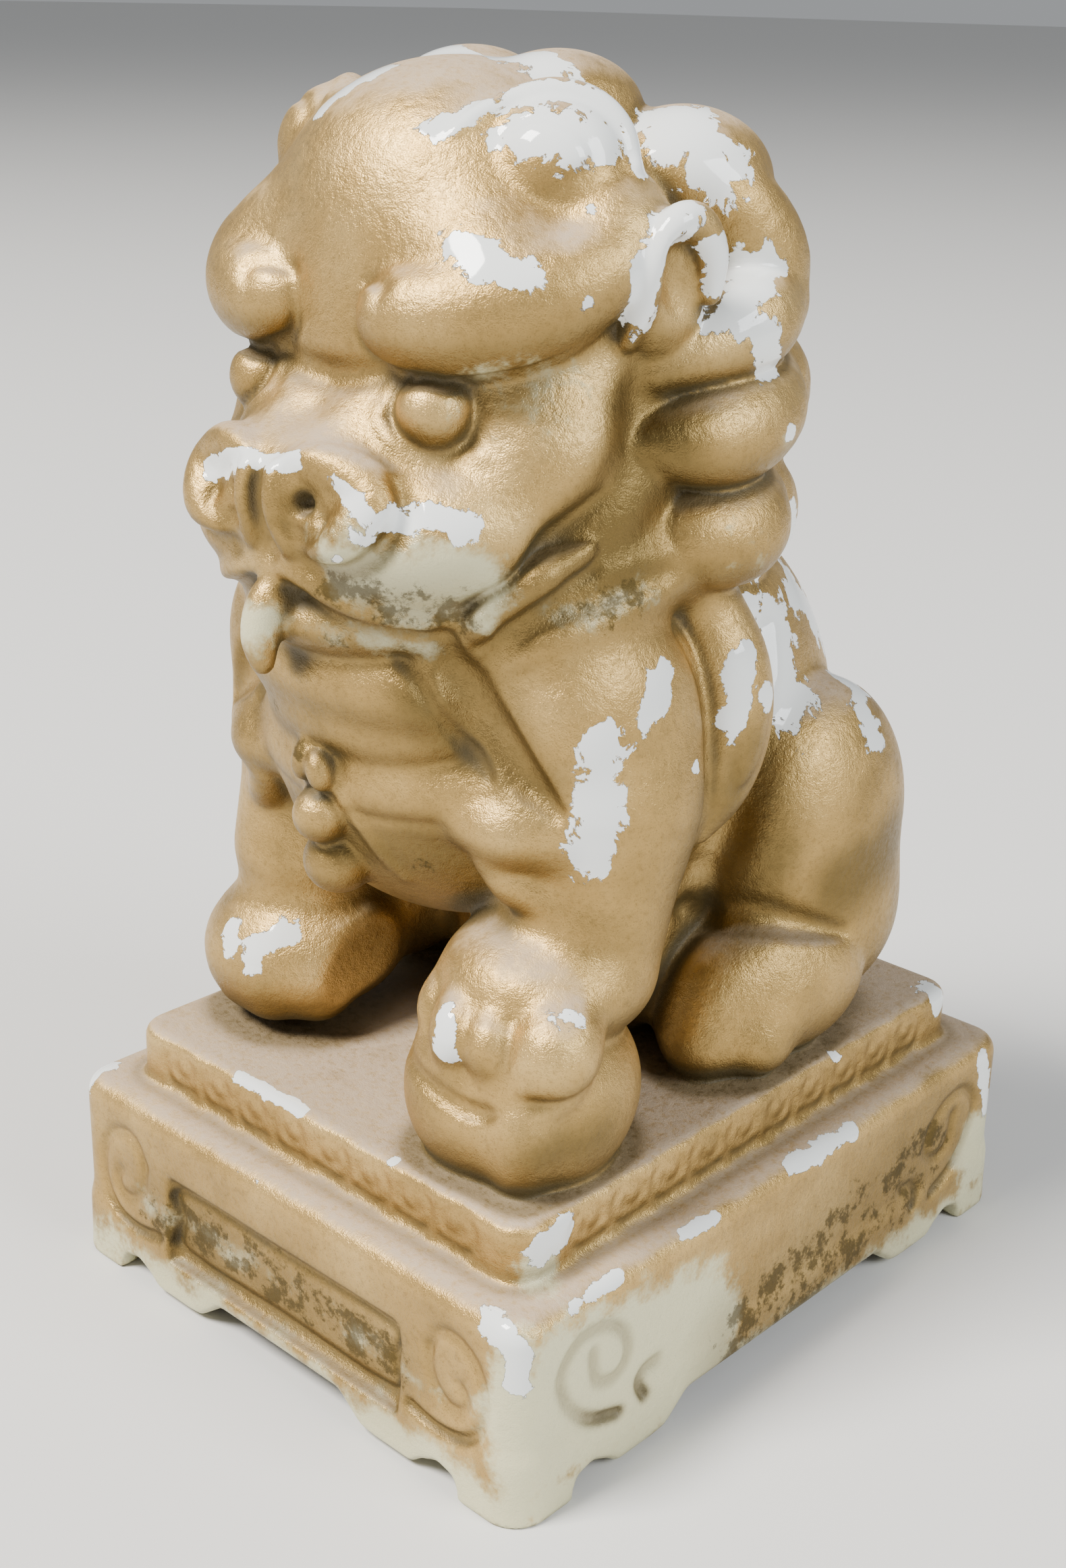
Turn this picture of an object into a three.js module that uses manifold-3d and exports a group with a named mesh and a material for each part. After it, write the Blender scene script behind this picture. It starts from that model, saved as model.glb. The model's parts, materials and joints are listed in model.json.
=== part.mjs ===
// Foo dog statue: a seated guardian lion, slip-cast in porcelain and painted in gold lustre, on a
// two-tier plinth. Millimetres, +Z up. The lion faces -Y and its own left side is +X. The origin is
// on the ground, under the middle of the statue's outline.
//
// The lion is built the way a potter lutes one together: a hollow body and a hollow head, with the
// legs, paws, locks of mane, brows, bells and ribbons applied to them. A piece that sits on another
// is cut by it with a clearance of GAP, so no two pieces share space.

import * as THREE from "three";
import { mergeVertices } from "three/addons/utils/BufferGeometryUtils.js";
import Module from "manifold-3d";

const wasm = await Module();
wasm.setup();

// ---- driving dimensions ----
const HEIGHT = 305;         // ground to the top of the crown
const GAP = 0.3;            // clearance between pieces that touch
const WALL = 5;             // thickness of the plinth's walls

const BASE_WIDTH = 162;     // lower tier, across the lion
const BASE_DEPTH = 196;     // lower tier, nose to tail
const BASE_HEIGHT = 52;
const BASE_CORNER = 7;      // radius of the upright corners
const BASE_EDGE = 4;        // rounding of the top edge
const FLARE = 2;            // how far the foot of the lower tier spreads
const STEP_INSET = 12;      // ledge around the upper tier
const STEP_HEIGHT = 14.5;
const STEP_CORNER = 6;
const STEP_EDGE = 2;
const STEP_TOP = BASE_HEIGHT + STEP_HEIGHT;

const FOOT_LENGTH = 17;     // flat part of each corner foot
const NOTCH_LENGTH = 14;    // arched notch beside the foot
const NOTCH_HEIGHT = 5.5;
const LOBE_LENGTH = 17;     // bracket lobe after the notch
const LOBE_CLEARANCE = 1.5;
const ARCH_HEIGHT = 7.5;    // straight middle of the apron
const PANEL_WIDTH = 84;     // recessed panel on the front
const PANEL_HEIGHT = 22;
const PANEL_DEPTH = 1.6;
const PANEL_FROM_GROUND = 13;

// The lion's hollows, one above the other and joined, from the drain in the upper tier to the head.
// Each is a box: half its width, its front and back, and its bottom and top.
const WELL = { half: 16, front: 24, back: 56, bottom: BASE_HEIGHT, top: 130 };
const BODY_HOLLOW = { half: 24, front: -48, back: 54, bottom: 126, top: 174 };
const NECK_HOLLOW = { half: 16, front: -28, back: 4, bottom: 170, top: 208 };
const HEAD_HOLLOW = { half: 32, front: -42, back: 12, bottom: 204, top: 252 };

// Every rounded form is an ellipsoid: its centre, its half sizes and its turn in degrees about the
// X, Y and Z axes in that order. A pair is given for the lion's left side and mirrored to its right.
const FORM = {
  back: { at: [0, 24, 142], radii: [53, 60, 62], turn: [28, 0, 0] },
  chest: { at: [0, -30, 150], radii: [48, 48, 42] },
  rump: { at: [0, 40, 92], radii: [48, 42, 38] },
  cranium: { at: [0, -32, 249], radii: [52, 46, 53] },
  nape: { at: [0, -9, 221], radii: [55, 57, 56] },

  haunch: { at: [45, 37, 117], radii: [23, 35, 42] },
  shoulder: { at: [45, -34, 157], radii: [22, 28, 38] },
  foreleg: { at: [48, -37, 126], radii: [18, 20, 34], turn: [-12, 0, 0] },
  ball: { at: [43, -59, 87], radii: [26, 28, 25] },
  ballPaw: { at: [43, -57, 108], radii: [24, 24, 15] },
  flatPaw: { at: [48, -46, 82], radii: [23, 24, 17] },
  hindPaw: { at: [53, 16, 81], radii: [18, 25, 16], turn: [0, 0, -8] },
  flame: { at: [58, -4, 160], radii: [8, 10, 24], turn: [-6, 0, 0] },
  tail: { at: [0, 82, 110], radii: [15, 11, 36], turn: [-6, 0, 0] },

  jaw: { at: [0, -60, 191], radii: [40, 29, 12] },
  beard: { at: [0, -93, 186], radii: [7, 6, 15], turn: [6, 0, 0] },
  muzzle: { at: [0, -73, 210], radii: [35, 26, 19] },
  bridge: { at: [0, -86, 219], radii: [22, 12, 11] },
  nostril: { at: [16, -93, 214], radii: [9, 9, 8] },
  nostrilHole: { at: [12, -100, 218], radii: [3.4, 5, 3] },
  cheek: { at: [34, -43, 222], radii: [22, 25, 26] },
  mouthFold: { at: [42, -56, 204], radii: [13, 8, 5], turn: [0, -20, 50] },
  brow: { at: [34, -60, 257], radii: [24, 13, 14], turn: [0, -8, 40] },
  eye: { at: [28, -72, 237], radii: [7, 6, 6] },
  ear: { at: [53, -33, 262], radii: [8, 12, 19], turn: [22, 0, 0] },
  earHollow: { at: [62, -37, 261], radii: [6, 6, 12], turn: [22, 0, 0] },

  crownFront: { at: [14, -22, 292.5], radii: [17, 18, 12.5] },
  crownCurl: { at: [30, -42, 282], radii: [17, 16, 16] },
  crownBack: { at: [33, -4, 279], radii: [19, 21, 16] },
  lockUpper: { at: [45, 2, 264], radii: [13, 16, 16] },
  lockEar: { at: [53, -4, 249], radii: [11, 15, 14] },
  lockCheek: { at: [56, -12, 228], radii: [10, 20, 12] },
  lockJaw: { at: [55, -8, 206], radii: [11, 18, 13] },
  lockNape: { at: [34, 21, 230], radii: [15, 17, 19] },
  lockLower: { at: [34, 20, 201], radii: [16, 17, 19] },
  spineUpper: { at: [0, 18, 269], radii: [22, 19, 15] },
  spineMiddle: { at: [0, 38, 242], radii: [21, 16, 20] },
  spineLower: { at: [0, 44, 206], radii: [21, 14, 23] },

  bib: { at: [0, -62, 173], radii: [36, 23, 17] },
  ribbon: { at: [42, -65, 175], radii: [8, 9, 21], turn: [0, -10, 30] },
  knot: { at: [0, -82, 154], radii: [7, 5, 6] },
  bell: { at: [0, -82, 142], radii: [8, 7, 7] },
  tassel: { at: [0, -77, 129], radii: [9, 8, 8] },
  sideBell: { at: [38, -64, 147], radii: [7, 7, 7] },
};

const COLLAR = { at: [0, -30, 155], ring: [46.5, 47.5], half: [4, 5] };

// The toes of each kind of paw: how many, how far in front of its middle, how far up, how far apart.
const BALL_TOES = { count: 4, reach: 17, rise: -5, spread: 11 };
const FLAT_TOES = { count: 4, reach: 17, rise: -5, spread: 10 };
const HIND_TOES = { count: 3, reach: 18, rise: -4, spread: 9 };
const TOE_RADII = [7, 9, 8.5];
const TOE_SET_BACK = 2.5;   // how far each toe stands behind the one nearer the middle

// ---- facets ----
const COARSE = 1;           // subdivisions of a small ellipsoid
const MEDIUM = 2;           // of a large one
const FINE = 3;             // of the body and the head
const SMALL = 13;           // forms thinner than this are coarse
const CORNER_FACETS = 3;    // around a quarter turn of an upright corner
const ARCH_FACETS = 3;      // along each curve of the apron
const EDGE_FACETS = 2;      // across a rounded edge
const COLLAR_FACETS = { section: 8, ring: 40 };

// ---- materials ----
const GOLD = { color: 0xb08a55, roughness: 0.42, metalness: 0.35 };
const PALE_GOLD = { color: 0xc39f6e, roughness: 0.45, metalness: 0.3 };
const DULL_GOLD = { color: 0xa88862, roughness: 0.6, metalness: 0.2 };
const CELADON = { color: 0xb9b48f, roughness: 0.3, metalness: 0.0 };

// ---- helpers ----
function toSolid(geometry) {
  const bare = geometry.clone();
  bare.deleteAttribute("normal");
  bare.deleteAttribute("uv");
  const merged = mergeVertices(bare, 1e-4);
  return new wasm.Manifold(new wasm.Mesh({
    numProp: 3,
    vertProperties: new Float32Array(merged.attributes.position.array),
    triVerts: new Uint32Array(merged.index.array),
  }));
}

function toGeometry(solid) {
  const mesh = solid.getMesh();
  const geometry = new THREE.BufferGeometry();
  geometry.setAttribute("position", new THREE.BufferAttribute(mesh.vertProperties, 3));
  geometry.setIndex(new THREE.BufferAttribute(mesh.triVerts, 1));
  geometry.computeVertexNormals();
  return geometry;
}

function mirrored(form) {
  const [x, y, z] = form.at;
  const [turnX, turnY, turnZ] = form.turn ?? [0, 0, 0];
  return { at: [-x, y, z], radii: form.radii, turn: [turnX, -turnY, -turnZ] };
}

// An ellipsoid, with every half size grown by grow. Fineness sets how many facets a large one has.
function ellipsoid(form, grow = 0, fineness = MEDIUM) {
  const detail = Math.min(...form.radii) < SMALL ? COARSE : fineness;
  const turn = (form.turn ?? [0, 0, 0]).map(THREE.MathUtils.degToRad);
  const geometry = new THREE.IcosahedronGeometry(1, detail);
  const place = new THREE.Matrix4().compose(
    new THREE.Vector3(...form.at),
    new THREE.Quaternion().setFromEuler(new THREE.Euler(...turn, "ZYX")),
    new THREE.Vector3(...form.radii.map((radius) => radius + grow)),
  );
  return toSolid(geometry.applyMatrix4(place));
}

function joined(solids) {
  return solids.reduce((sum, solid) => sum.add(solid));
}

function largestPiece(solid) {
  const pieces = solid.decompose();
  return pieces.reduce((best, piece) => (piece.volume() > best.volume() ? piece : best));
}

function roundedOutline(width, depth, radius) {
  const x = width / 2;
  const y = depth / 2;
  const shape = new THREE.Shape();
  shape.absarc(x - radius, y - radius, radius, 0, Math.PI / 2);
  shape.absarc(-x + radius, y - radius, radius, Math.PI / 2, Math.PI);
  shape.absarc(-x + radius, -y + radius, radius, Math.PI, 1.5 * Math.PI);
  shape.absarc(x - radius, -y + radius, radius, 1.5 * Math.PI, 2 * Math.PI);
  shape.closePath();
  return shape;
}

// A rounded slab from bottom to top, with its upper edge rounded over.
function slab(width, depth, corner, bottom, top, edge = 0) {
  const outline = roundedOutline(width - 2 * edge, depth - 2 * edge, Math.max(corner - edge, 1));
  const geometry = new THREE.ExtrudeGeometry(outline, {
    depth: top - bottom - edge,
    bevelEnabled: edge > 0,
    bevelSize: edge,
    bevelThickness: edge,
    bevelSegments: EDGE_FACETS,
    curveSegments: CORNER_FACETS,
  });
  const solid = toSolid(geometry.translate(0, 0, bottom));
  return edge > 0 ? solid.subtract(everythingBelow(bottom)) : solid;
}

function block(x, y, z, sizeX, sizeY, sizeZ) {
  return toSolid(new THREE.BoxGeometry(sizeX, sizeY, sizeZ).translate(x, y, z));
}

function everythingBelow(level) {
  return block(0, 0, level - HEIGHT / 2, 2 * HEIGHT, 2 * HEIGHT, HEIGHT);
}

function chamber({ half, front, back, bottom, top }) {
  return block(0, (front + back) / 2, (bottom + top) / 2, 2 * half, back - front, top - bottom);
}

// ---- plinth ----
// The air under the apron of one pair of sides: flat feet at the ends, then an arched notch, a
// bracket lobe that almost reaches the ground, and the straight raised middle.
function apronCut(length, through) {
  const half = length / 2;
  const notchFrom = half - FOOT_LENGTH;
  const notchTo = notchFrom - NOTCH_LENGTH;
  const lobeTo = notchTo - LOBE_LENGTH;
  const archFrom = lobeTo - ARCH_HEIGHT;
  const shape = new THREE.Shape();
  shape.moveTo(notchFrom, -1);
  shape.lineTo(notchFrom, 0);
  shape.quadraticCurveTo(notchFrom - 1, NOTCH_HEIGHT, (notchFrom + notchTo) / 2, NOTCH_HEIGHT);
  shape.quadraticCurveTo(notchTo + 2, NOTCH_HEIGHT, notchTo, LOBE_CLEARANCE);
  shape.lineTo(lobeTo, LOBE_CLEARANCE);
  shape.quadraticCurveTo(archFrom + 2, ARCH_HEIGHT - 1, archFrom - 4, ARCH_HEIGHT);
  shape.lineTo(-archFrom + 4, ARCH_HEIGHT);
  shape.quadraticCurveTo(-archFrom - 2, ARCH_HEIGHT - 1, -lobeTo, LOBE_CLEARANCE);
  shape.lineTo(-notchTo, LOBE_CLEARANCE);
  shape.quadraticCurveTo(-notchTo - 2, NOTCH_HEIGHT, -(notchFrom + notchTo) / 2, NOTCH_HEIGHT);
  shape.quadraticCurveTo(-notchFrom + 1, NOTCH_HEIGHT, -notchFrom, 0);
  shape.lineTo(-notchFrom, -1);
  shape.closePath();
  const geometry = new THREE.ExtrudeGeometry(shape, {
    depth: through,
    bevelEnabled: false,
    curveSegments: ARCH_FACETS,
  });
  geometry.rotateX(Math.PI / 2).translate(0, through / 2, 0);
  return geometry;
}

function plinthBase() {
  const width = BASE_WIDTH - 2 * FLARE;
  const depth = BASE_DEPTH - 2 * FLARE;
  const outer = slab(width, depth, BASE_CORNER, 0, BASE_HEIGHT, BASE_EDGE);
  const foot = slab(BASE_WIDTH, BASE_DEPTH, BASE_CORNER + FLARE, 0, ARCH_HEIGHT + 2, FLARE);
  const hollow = slab(width - 2 * WALL, depth - 2 * WALL, BASE_CORNER - 3, -1, BASE_HEIGHT - WALL);
  const ledge = STEP_INSET + 2 * WALL;
  const opening = slab(width - 2 * ledge, depth - 2 * ledge, STEP_CORNER, 0, BASE_HEIGHT + 1);
  const panel = block(0, -depth / 2, PANEL_FROM_GROUND + PANEL_HEIGHT / 2,
    PANEL_WIDTH, 2 * PANEL_DEPTH, PANEL_HEIGHT);
  const frontApron = toSolid(apronCut(BASE_WIDTH, 2 * BASE_DEPTH));
  const sideApron = toSolid(apronCut(BASE_DEPTH, 2 * BASE_WIDTH).rotateZ(Math.PI / 2));
  return joined([outer, foot])
    .subtract(joined([hollow, opening]))
    .subtract(joined([frontApron, sideApron, panel]));
}

function plinthStep() {
  const width = BASE_WIDTH - 2 * STEP_INSET;
  const depth = BASE_DEPTH - 2 * STEP_INSET;
  const bottom = BASE_HEIGHT + GAP;
  return slab(width, depth, STEP_CORNER, bottom, STEP_TOP, STEP_EDGE);
}

function plinthStepHollow() {
  const width = BASE_WIDTH - 2 * STEP_INSET - 2 * WALL;
  const depth = BASE_DEPTH - 2 * STEP_INSET - 2 * WALL;
  const pocket = slab(width, depth, STEP_CORNER - 2, BASE_HEIGHT - 1, STEP_TOP - WALL);
  return pocket.add(chamber(WELL));
}

// ---- the lion ----
// A row of toes across the front of a paw, the outer ones set back.
function toes(paw, { count, reach, rise, spread }) {
  const [x, y, z] = paw.at;
  return Array.from({ length: count }, (_, index) => index - (count - 1) / 2).map((step) => ({
    at: [x + step * spread, y - reach + Math.abs(step) * TOE_SET_BACK, z + rise],
    radii: TOE_RADII,
  }));
}

function collarBand(grow) {
  const thickness = (COLLAR.half[0] + grow) / COLLAR.ring[0];
  const outline = new THREE.Path();
  outline.absellipse(1, 0, thickness, COLLAR.half[1] + grow, 0, 2 * Math.PI);
  const profile = outline.getPoints(COLLAR_FACETS.section);
  const geometry = new THREE.LatheGeometry(profile, COLLAR_FACETS.ring);
  geometry.rotateX(Math.PI / 2);
  geometry.scale(COLLAR.ring[0], COLLAR.ring[1], 1);
  geometry.translate(...COLLAR.at);
  return toSolid(geometry);
}

// A piece made of ellipsoids. All of it is on the lion's left, or on its right when flip is set.
function forms(list, flip = false, fineness = MEDIUM) {
  const placed = flip ? list.map(mirrored) : list;
  return (grow) => joined(placed.map((form) => ellipsoid(form, grow, fineness)));
}

const pieces = [];

// Adds a piece: shape(grow) is its full outer form, and hollow() is what is taken out of it.
function add(name, material, shape, hollow = null) {
  pieces.push({ name, material, shape, hollow });
}

function addPair(name, material, list, hollowForm = null) {
  for (const [side, flip] of [["left", false], ["right", true]]) {
    const hollow = hollowForm && (() => ellipsoid(flip ? mirrored(hollowForm) : hollowForm));
    add(`${name}_${side}`, material, forms(list, flip), hollow);
  }
}

add("body", GOLD, forms([FORM.back, FORM.chest, FORM.rump], false, FINE), () =>
  joined([WELL, BODY_HOLLOW, NECK_HOLLOW].map(chamber)));
add("head", PALE_GOLD, forms([FORM.cranium, FORM.nape], false, FINE), () =>
  joined([NECK_HOLLOW, HEAD_HOLLOW].map(chamber)));

addPair("haunch", GOLD, [FORM.haunch]);
addPair("foreleg", GOLD, [FORM.shoulder, FORM.foreleg]);
add("ball", GOLD, forms([FORM.ball]));
add("forepaw_left", DULL_GOLD, forms([FORM.ballPaw, ...toes(FORM.ballPaw, BALL_TOES)]));
add("forepaw_right", DULL_GOLD, forms([FORM.flatPaw, ...toes(FORM.flatPaw, FLAT_TOES)], true));
addPair("hind_paw", DULL_GOLD, [FORM.hindPaw, ...toes(FORM.hindPaw, HIND_TOES)]);
addPair("shoulder_flame", GOLD, [FORM.flame]);
add("tail", GOLD, forms([FORM.tail]));

add("lower_jaw", CELADON, forms([FORM.jaw]));
add("muzzle", PALE_GOLD, forms([FORM.muzzle]));
addPair("cheek", GOLD, [FORM.cheek, FORM.mouthFold]);
add("nose", PALE_GOLD,
  forms([FORM.bridge, FORM.nostril, mirrored(FORM.nostril)]),
  () => joined([FORM.nostrilHole, mirrored(FORM.nostrilHole)].map((form) => ellipsoid(form))));
add("beard", CELADON, forms([FORM.beard]));
addPair("brow", PALE_GOLD, [FORM.brow]);
addPair("eye", PALE_GOLD, [FORM.eye]);
addPair("ear", PALE_GOLD, [FORM.ear], FORM.earHollow);

addPair("crown_front", PALE_GOLD, [FORM.crownFront]);
addPair("crown_curl", PALE_GOLD, [FORM.crownCurl]);
addPair("crown_back", PALE_GOLD, [FORM.crownBack]);
addPair("mane_upper", PALE_GOLD, [FORM.lockUpper]);
addPair("mane_ear", GOLD, [FORM.lockEar]);
addPair("mane_cheek", GOLD, [FORM.lockCheek]);
addPair("mane_jaw", GOLD, [FORM.lockJaw]);
addPair("mane_nape", GOLD, [FORM.lockNape]);
addPair("mane_lower", GOLD, [FORM.lockLower]);
add("mane_spine_upper", PALE_GOLD, forms([FORM.spineUpper]));
add("mane_spine_middle", GOLD, forms([FORM.spineMiddle]));
add("mane_spine_lower", GOLD, forms([FORM.spineLower]));

add("bib", CELADON, forms([FORM.bib]));
addPair("ribbon", GOLD, [FORM.ribbon]);
add("collar_band", GOLD, collarBand);
add("bell_knot", GOLD, forms([FORM.knot]));
add("bell", GOLD, forms([FORM.bell]));
add("bell_tassel", GOLD, forms([FORM.tassel]));
addPair("side_bell", GOLD, [FORM.sideBell]);

// ---- assembly ----
const statue = new THREE.Group();
statue.name = "foo_dog_statue";

function place(name, material, solid) {
  const mesh = new THREE.Mesh(toGeometry(solid), new THREE.MeshStandardMaterial(material));
  mesh.name = name;
  statue.add(mesh);
}

place("plinth_base", DULL_GOLD, plinthBase());
place("plinth_step", DULL_GOLD, plinthStep().subtract(plinthStepHollow()));

// Everything that stands on the plinth is cut off flat just above it.
let taken = everythingBelow(STEP_TOP + GAP);
for (const piece of pieces) {
  let solid = piece.shape(0).subtract(taken);
  if (piece.hollow) solid = solid.subtract(piece.hollow());
  place(piece.name, piece.material, largestPiece(solid));
  taken = taken.add(piece.shape(GAP));
}

// The nose stands out past the plinth, so the statue moves back by half of that to keep the origin
// under the middle of its outline.
const overhang = FORM.nostril.radii[1] - FORM.nostril.at[1] - BASE_DEPTH / 2;
statue.position.y = overhang / 2;

export default statue;
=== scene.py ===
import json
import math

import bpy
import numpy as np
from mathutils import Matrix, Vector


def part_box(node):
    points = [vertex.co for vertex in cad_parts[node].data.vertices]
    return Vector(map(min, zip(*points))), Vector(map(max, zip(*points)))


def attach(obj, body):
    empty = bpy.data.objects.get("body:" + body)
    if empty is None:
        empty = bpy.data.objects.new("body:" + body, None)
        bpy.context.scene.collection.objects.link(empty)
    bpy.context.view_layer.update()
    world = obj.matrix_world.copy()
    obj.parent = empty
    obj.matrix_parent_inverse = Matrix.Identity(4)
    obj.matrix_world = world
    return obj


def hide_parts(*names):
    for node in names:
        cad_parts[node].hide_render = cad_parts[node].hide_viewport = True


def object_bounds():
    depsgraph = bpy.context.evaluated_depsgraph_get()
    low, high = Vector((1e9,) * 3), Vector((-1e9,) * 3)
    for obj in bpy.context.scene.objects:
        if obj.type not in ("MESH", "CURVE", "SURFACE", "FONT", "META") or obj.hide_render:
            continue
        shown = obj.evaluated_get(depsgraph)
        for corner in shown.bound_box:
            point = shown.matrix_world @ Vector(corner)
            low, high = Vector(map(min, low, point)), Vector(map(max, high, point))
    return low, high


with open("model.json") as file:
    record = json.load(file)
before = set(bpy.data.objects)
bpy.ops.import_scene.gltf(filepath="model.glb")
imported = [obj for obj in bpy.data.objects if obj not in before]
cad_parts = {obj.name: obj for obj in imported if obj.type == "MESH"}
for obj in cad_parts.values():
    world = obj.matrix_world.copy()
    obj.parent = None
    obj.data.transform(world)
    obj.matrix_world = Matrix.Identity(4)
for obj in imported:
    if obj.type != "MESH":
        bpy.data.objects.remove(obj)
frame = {"nodes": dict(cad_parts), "record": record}

# The statue is sculpted as one field of clay, the signed distance to its surface on a grid, so that
# every form melts into its neighbour as slip-cast porcelain does. The surface is then divided into
# the pieces of the CAD model: each point goes to the piece whose own form is nearest.
#
# The sculpt is in millimetres, the lion facing -Y with its own left side at +X. Its y is counted
# from the middle of the plinth, which the frame gives.

CAD_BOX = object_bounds()
MM = 0.001

PLINTH_LOW, PLINTH_HIGH = (np.array(corner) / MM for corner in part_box("plinth_base"))
STEP_LOW, STEP_HIGH = (np.array(corner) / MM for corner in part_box("plinth_step"))
MIDDLE_Y = (PLINTH_LOW[1] + PLINTH_HIGH[1]) / 2
BASE_HALF = (PLINTH_HIGH - PLINTH_LOW)[:2] / 2
BASE_TOP = PLINTH_HIGH[2]
STEP_HALF = (STEP_HIGH - STEP_LOW)[:2] / 2
STEP_TOP = STEP_HIGH[2]
CROWN = CAD_BOX[1][2] / MM

CELL = 1.0    # spacing of the grid
FAR = 40.0                           # what the field holds where nothing is near
REACH = 12.0                         # how far round a form its distance is worked out
SHELL = 1.6                          # thickness of each piece's wall
MARGIN = 4                           # the least clear space round the statue in the grid
OPENING_EDGE = 1                     # rounding of the edges of an opening
UNDERGROUND = 40                     # how far what is cut off at the floor reaches past the grid


# ---- forms: each has a box and a distance function ----
class Form:
    def __init__(self, low, high, distance):
        self.low = np.array(low, float)
        self.high = np.array(high, float)
        self.distance = distance

    def mirrored(self):
        low = self.low * (-1, 1, 1)
        high = self.high * (-1, 1, 1)
        return Form(np.minimum(low, high), np.maximum(low, high),
                    lambda x, y, z: self.distance(-x, y, z))


def turned(turn):
    """The rotation about X, then Y, then Z, in degrees, as a matrix."""
    x, y, z = (math.radians(angle) for angle in turn)
    about_x = np.array([[1, 0, 0], [0, math.cos(x), -math.sin(x)], [0, math.sin(x), math.cos(x)]])
    about_y = np.array([[math.cos(y), 0, math.sin(y)], [0, 1, 0], [-math.sin(y), 0, math.cos(y)]])
    about_z = np.array([[math.cos(z), -math.sin(z), 0], [math.sin(z), math.cos(z), 0], [0, 0, 1]])
    return about_z @ about_y @ about_x


def ellipsoid(at, radii, turn=(0, 0, 0)):
    axes = turned(turn)
    at = np.array(at, float)
    radii = np.array(radii, float)
    half = np.sqrt(((axes * radii) ** 2).sum(axis=1))

    def distance(x, y, z):
        x, y, z = x - at[0], y - at[1], z - at[2]
        near = [(axes[0, i] * x + axes[1, i] * y + axes[2, i] * z) / radii[i] for i in range(3)]
        length = np.sqrt(near[0] ** 2 + near[1] ** 2 + near[2] ** 2)
        slope = np.sqrt(sum((near[i] / radii[i]) ** 2 for i in range(3)))
        return length * (length - 1) / np.maximum(slope, 1e-5)

    return Form(at - half, at + half, distance)


def smooth_path(points, steps=5):
    """Points on a smooth curve through the given ones. Each may carry a radius as its last number."""
    points = np.array(points, float)
    ends = np.vstack([2 * points[0] - points[1], points, 2 * points[-1] - points[-2]])
    path = []
    for a, b, c, d in zip(ends, ends[1:], ends[2:], ends[3:]):
        for t in np.arange(steps) / steps:
            path.append(0.5 * (2 * b + (c - a) * t + (2 * a - 5 * b + 4 * c - d) * t ** 2
                               + (3 * b - a - 3 * c + d) * t ** 3))
    path.append(points[-1])
    return np.array(path)


def tube(*points, steps=5, flat=None):
    """A rounded tube through points (x, y, z, radius). flat = (direction, share) thins it that way."""
    path = smooth_path(points, steps)
    centre, radius = path[:, :3], path[:, 3]
    squeeze = np.eye(3)
    if flat is not None:
        direction = np.array(flat[0], float) / np.linalg.norm(flat[0])
        squeeze += (1 / flat[1] - 1) * np.outer(direction, direction)
    share = 1.0 if flat is None else flat[1]
    line = centre @ squeeze.T

    def distance(x, y, z):
        x, y, z = (squeeze[i, 0] * x + squeeze[i, 1] * y + squeeze[i, 2] * z for i in range(3))
        best = None
        for a, b, ra, rb in zip(line, line[1:], radius, radius[1:]):
            along = b - a
            t = ((x - a[0]) * along[0] + (y - a[1]) * along[1] + (z - a[2]) * along[2])
            t = np.clip(t / max(along @ along, 1e-9), 0, 1)
            gap = np.sqrt((x - a[0] - t * along[0]) ** 2 + (y - a[1] - t * along[1]) ** 2
                          + (z - a[2] - t * along[2]) ** 2) - (ra + t * (rb - ra))
            best = gap if best is None else np.minimum(best, gap)
        return best * share

    reach = radius.max()
    return Form(centre.min(0) - reach, centre.max(0) + reach, distance)


def rounded_box(half, bottom, top, corner, edge, flare=0.0, flare_height=1.0):
    """An upright box with round corners and edges, whose sides spread by flare near its bottom."""
    def distance(x, y, z):
        spread = flare * np.clip(1 - (z - bottom) / flare_height, 0, 1) ** 2
        side_x = np.abs(x) - half[0] - spread + corner
        side_y = np.abs(y) - half[1] - spread + corner
        side = (np.minimum(np.maximum(side_x, side_y), 0)
                + np.sqrt(np.maximum(side_x, 0) ** 2 + np.maximum(side_y, 0) ** 2) - corner + edge)
        up = np.abs(z - (bottom + top) / 2) - (top - bottom) / 2 + edge
        return (np.minimum(np.maximum(side, up), 0)
                + np.sqrt(np.maximum(side, 0) ** 2 + np.maximum(up, 0) ** 2) - edge)

    reach = (half[0] + flare, half[1] + flare)
    return Form((-reach[0], -reach[1], bottom), (reach[0], reach[1], top), distance)


def block(low, high, edge):
    """An upright box with round edges."""
    middle, half = (low + high) / 2, (high - low) / 2 - edge

    def distance(x, y, z):
        past = [np.abs(place - m) - h for place, m, h in zip((x, y, z), middle, half)]
        outside = np.sqrt(sum(np.maximum(side, 0) ** 2 for side in past))
        return outside + np.minimum(np.maximum(np.maximum(past[0], past[1]), past[2]), 0) - edge

    return Form(low, high, distance)


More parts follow.
